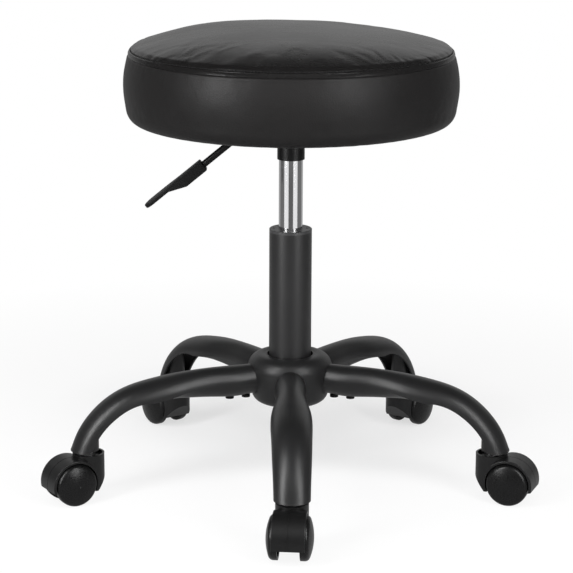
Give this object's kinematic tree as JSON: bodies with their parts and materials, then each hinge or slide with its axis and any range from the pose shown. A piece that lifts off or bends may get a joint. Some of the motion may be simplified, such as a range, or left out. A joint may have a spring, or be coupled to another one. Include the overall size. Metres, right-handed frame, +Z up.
{
  "type": "swivel stool",
  "caption": "Height-adjustable swivel stool with a round padded seat on a gas lift, a release lever and a curved star base on twin-wheel casters.",
  "frame": {"origin": "on the floor, on the column's axis", "axes": "+Z up along the column to the crown of the seat, -Y along the front leg, -X along the release lever"},
  "size_m": [0.5806, 0.555, 0.5422],
  "materials": {
    "black_leather_top": "semi-matte imitation leather, fine grain",
    "black_leather_side": "semi-matte imitation leather, fine grain",
    "foam": "open-cell foam",
    "plywood": "raw plywood",
    "dust_cloth": "thin non-woven cloth",
    "bright_steel": "zinc plated",
    "black_paint": "satin black paint",
    "black_powder_coat": "black powder coat, fine grain",
    "black_casting": "die casting in black powder coat",
    "chrome": "polished chrome plate",
    "ground_steel": "ground steel",
    "machined_aluminium": "machined",
    "black_nylon": "moulded nylon, satin",
    "grey_acetal": "moulded acetal, satin",
    "wheel_nylon": "moulded nylon, half gloss",
    "seal_plastic": "moulded plastic",
    "black_rubber": "moulded rubber"
  },
  "bodies": {
    "base": {"hub": "black_casting", "leg_1": "black_powder_coat", "leg_2": "black_powder_coat", "leg_3": "black_powder_coat", "leg_4": "black_powder_coat", "leg_5": "black_powder_coat", "leg_screws": "black_paint", "stem_sleeves": "black_nylon", "caster_stems": "bright_steel", "stem_rings": "bright_steel", "column_tube": "black_paint", "column_bush": "grey_acetal", "bearing_lower_race": "ground_steel", "bearing_balls": "ground_steel"},
    "spindle": {"piston_rod": "ground_steel", "piston": "machined_aluminium", "bearing_upper_race": "ground_steel", "bump_stop": "black_rubber", "rod_clip": "bright_steel"},
    "seat": {"seat_top_panel": "black_leather_top", "seat_side_band": "black_leather_side", "seat_foam": "foam", "seat_board": "plywood", "dust_cover": "dust_cloth", "cover_staples": "bright_steel", "t_nuts": "bright_steel", "seat_plate": "black_paint", "plate_bolts": "bright_steel", "lever_housing": "black_paint", "taper_socket": "black_paint", "lever_pivot_pin": "bright_steel", "gas_cylinder": "chrome", "rod_guide": "seal_plastic"},
    "lever": {"lever_rod": "black_paint", "lever_paddle": "black_nylon"},
    "valve": {"release_pin": "ground_steel"},
    "caster_1": {"caster_hood_1": "black_nylon", "caster_axle_1": "bright_steel"},
    "left_wheel_1": {"wheel_left_1": "wheel_nylon"},
    "right_wheel_1": {"wheel_right_1": "wheel_nylon"},
    "caster_2": {"caster_hood_2": "black_nylon", "caster_axle_2": "bright_steel"},
    "left_wheel_2": {"wheel_left_2": "wheel_nylon"},
    "right_wheel_2": {"wheel_right_2": "wheel_nylon"},
    "caster_3": {"caster_hood_3": "black_nylon", "caster_axle_3": "bright_steel"},
    "left_wheel_3": {"wheel_left_3": "wheel_nylon"},
    "right_wheel_3": {"wheel_right_3": "wheel_nylon"},
    "caster_4": {"caster_hood_4": "black_nylon", "caster_axle_4": "bright_steel"},
    "left_wheel_4": {"wheel_left_4": "wheel_nylon"},
    "right_wheel_4": {"wheel_right_4": "wheel_nylon"},
    "caster_5": {"caster_hood_5": "black_nylon", "caster_axle_5": "bright_steel"},
    "left_wheel_5": {"wheel_left_5": "wheel_nylon"},
    "right_wheel_5": {"wheel_right_5": "wheel_nylon"}
  },
  "joints": [
    {"name": "seat_swivel", "type": "hinge", "parent": "base", "child": "spindle", "pos_m": [0, 0, 0.1], "axis": [0, 0, 1], "continuous": true},
    {"name": "seat_lift", "type": "slide", "parent": "spindle", "child": "seat", "axis": [0, 0, 1], "range_m": [-0.075, 0.055]},
    {"name": "lever_pull", "type": "hinge", "parent": "seat", "child": "lever", "pos_m": [-0.038, 0, 0.42323], "axis": [0, 1, 0], "range_deg": [0, 6], "stiffness_Nm_per_rad": 6, "springref_deg": -8.59},
    {"name": "pin_press", "type": "slide", "parent": "seat", "child": "valve", "axis": [0, 0, 1], "range_m": [-0.0045, 0]},
    {"name": "caster_swivel_1", "type": "hinge", "parent": "base", "child": "caster_1", "pos_m": [0, -0.247, 0.05], "axis": [0, 0, 1], "continuous": true},
    {"name": "left_wheel_spin_1", "type": "hinge", "parent": "caster_1", "child": "left_wheel_1", "pos_m": [-0.00251, -0.27087, 0.025], "axis": [0.9945, -0.1045, 0], "continuous": true},
    {"name": "right_wheel_spin_1", "type": "hinge", "parent": "caster_1", "child": "right_wheel_1", "pos_m": [-0.00251, -0.27087, 0.025], "axis": [0.9945, -0.1045, 0], "continuous": true},
    {"name": "caster_swivel_2", "type": "hinge", "parent": "base", "child": "caster_2", "pos_m": [0.23491, -0.07633, 0.05], "axis": [0, 0, 1], "continuous": true},
    {"name": "left_wheel_spin_2", "type": "hinge", "parent": "caster_2", "child": "left_wheel_2", "pos_m": [0.25716, -0.08532, 0.025], "axis": [0.3746, 0.9272, 0], "continuous": true},
    {"name": "right_wheel_spin_2", "type": "hinge", "parent": "caster_2", "child": "right_wheel_2", "pos_m": [0.25716, -0.08532, 0.025], "axis": [0.3746, 0.9272, 0], "continuous": true},
    {"name": "caster_swivel_3", "type": "hinge", "parent": "base", "child": "caster_3", "pos_m": [0.14518, 0.19983, 0.05], "axis": [0, 0, 1], "continuous": true},
    {"name": "left_wheel_spin_3", "type": "hinge", "parent": "caster_3", "child": "left_wheel_3", "pos_m": [0.15929, 0.21924, 0.025], "axis": [-0.809, 0.5878, 0], "continuous": true},
    {"name": "right_wheel_spin_3", "type": "hinge", "parent": "caster_3", "child": "right_wheel_3", "pos_m": [0.15929, 0.21924, 0.025], "axis": [-0.809, 0.5878, 0], "continuous": true},
    {"name": "caster_swivel_4", "type": "hinge", "parent": "base", "child": "caster_4", "pos_m": [-0.14518, 0.19983, 0.05], "axis": [0, 0, 1], "continuous": true},
    {"name": "left_wheel_spin_4", "type": "hinge", "parent": "caster_4", "child": "left_wheel_4", "pos_m": [-0.15929, 0.21924, 0.025], "axis": [-0.809, -0.5878, 0], "continuous": true},
    {"name": "right_wheel_spin_4", "type": "hinge", "parent": "caster_4", "child": "right_wheel_4", "pos_m": [-0.15929, 0.21924, 0.025], "axis": [-0.809, -0.5878, 0], "continuous": true},
    {"name": "caster_swivel_5", "type": "hinge", "parent": "base", "child": "caster_5", "pos_m": [-0.23491, -0.07633, 0.05], "axis": [0, 0, 1], "continuous": true},
    {"name": "left_wheel_spin_5", "type": "hinge", "parent": "caster_5", "child": "left_wheel_5", "pos_m": [-0.25548, -0.08869, 0.025], "axis": [0.515, -0.8572, 0], "continuous": true},
    {"name": "right_wheel_spin_5", "type": "hinge", "parent": "caster_5", "child": "right_wheel_5", "pos_m": [-0.25548, -0.08869, 0.025], "axis": [0.515, -0.8572, 0], "continuous": true}
  ],
  "couplings": [
    {"joint": "pin_press", "follows": "lever_pull", "m_per_rad": -0.04}
  ]
}
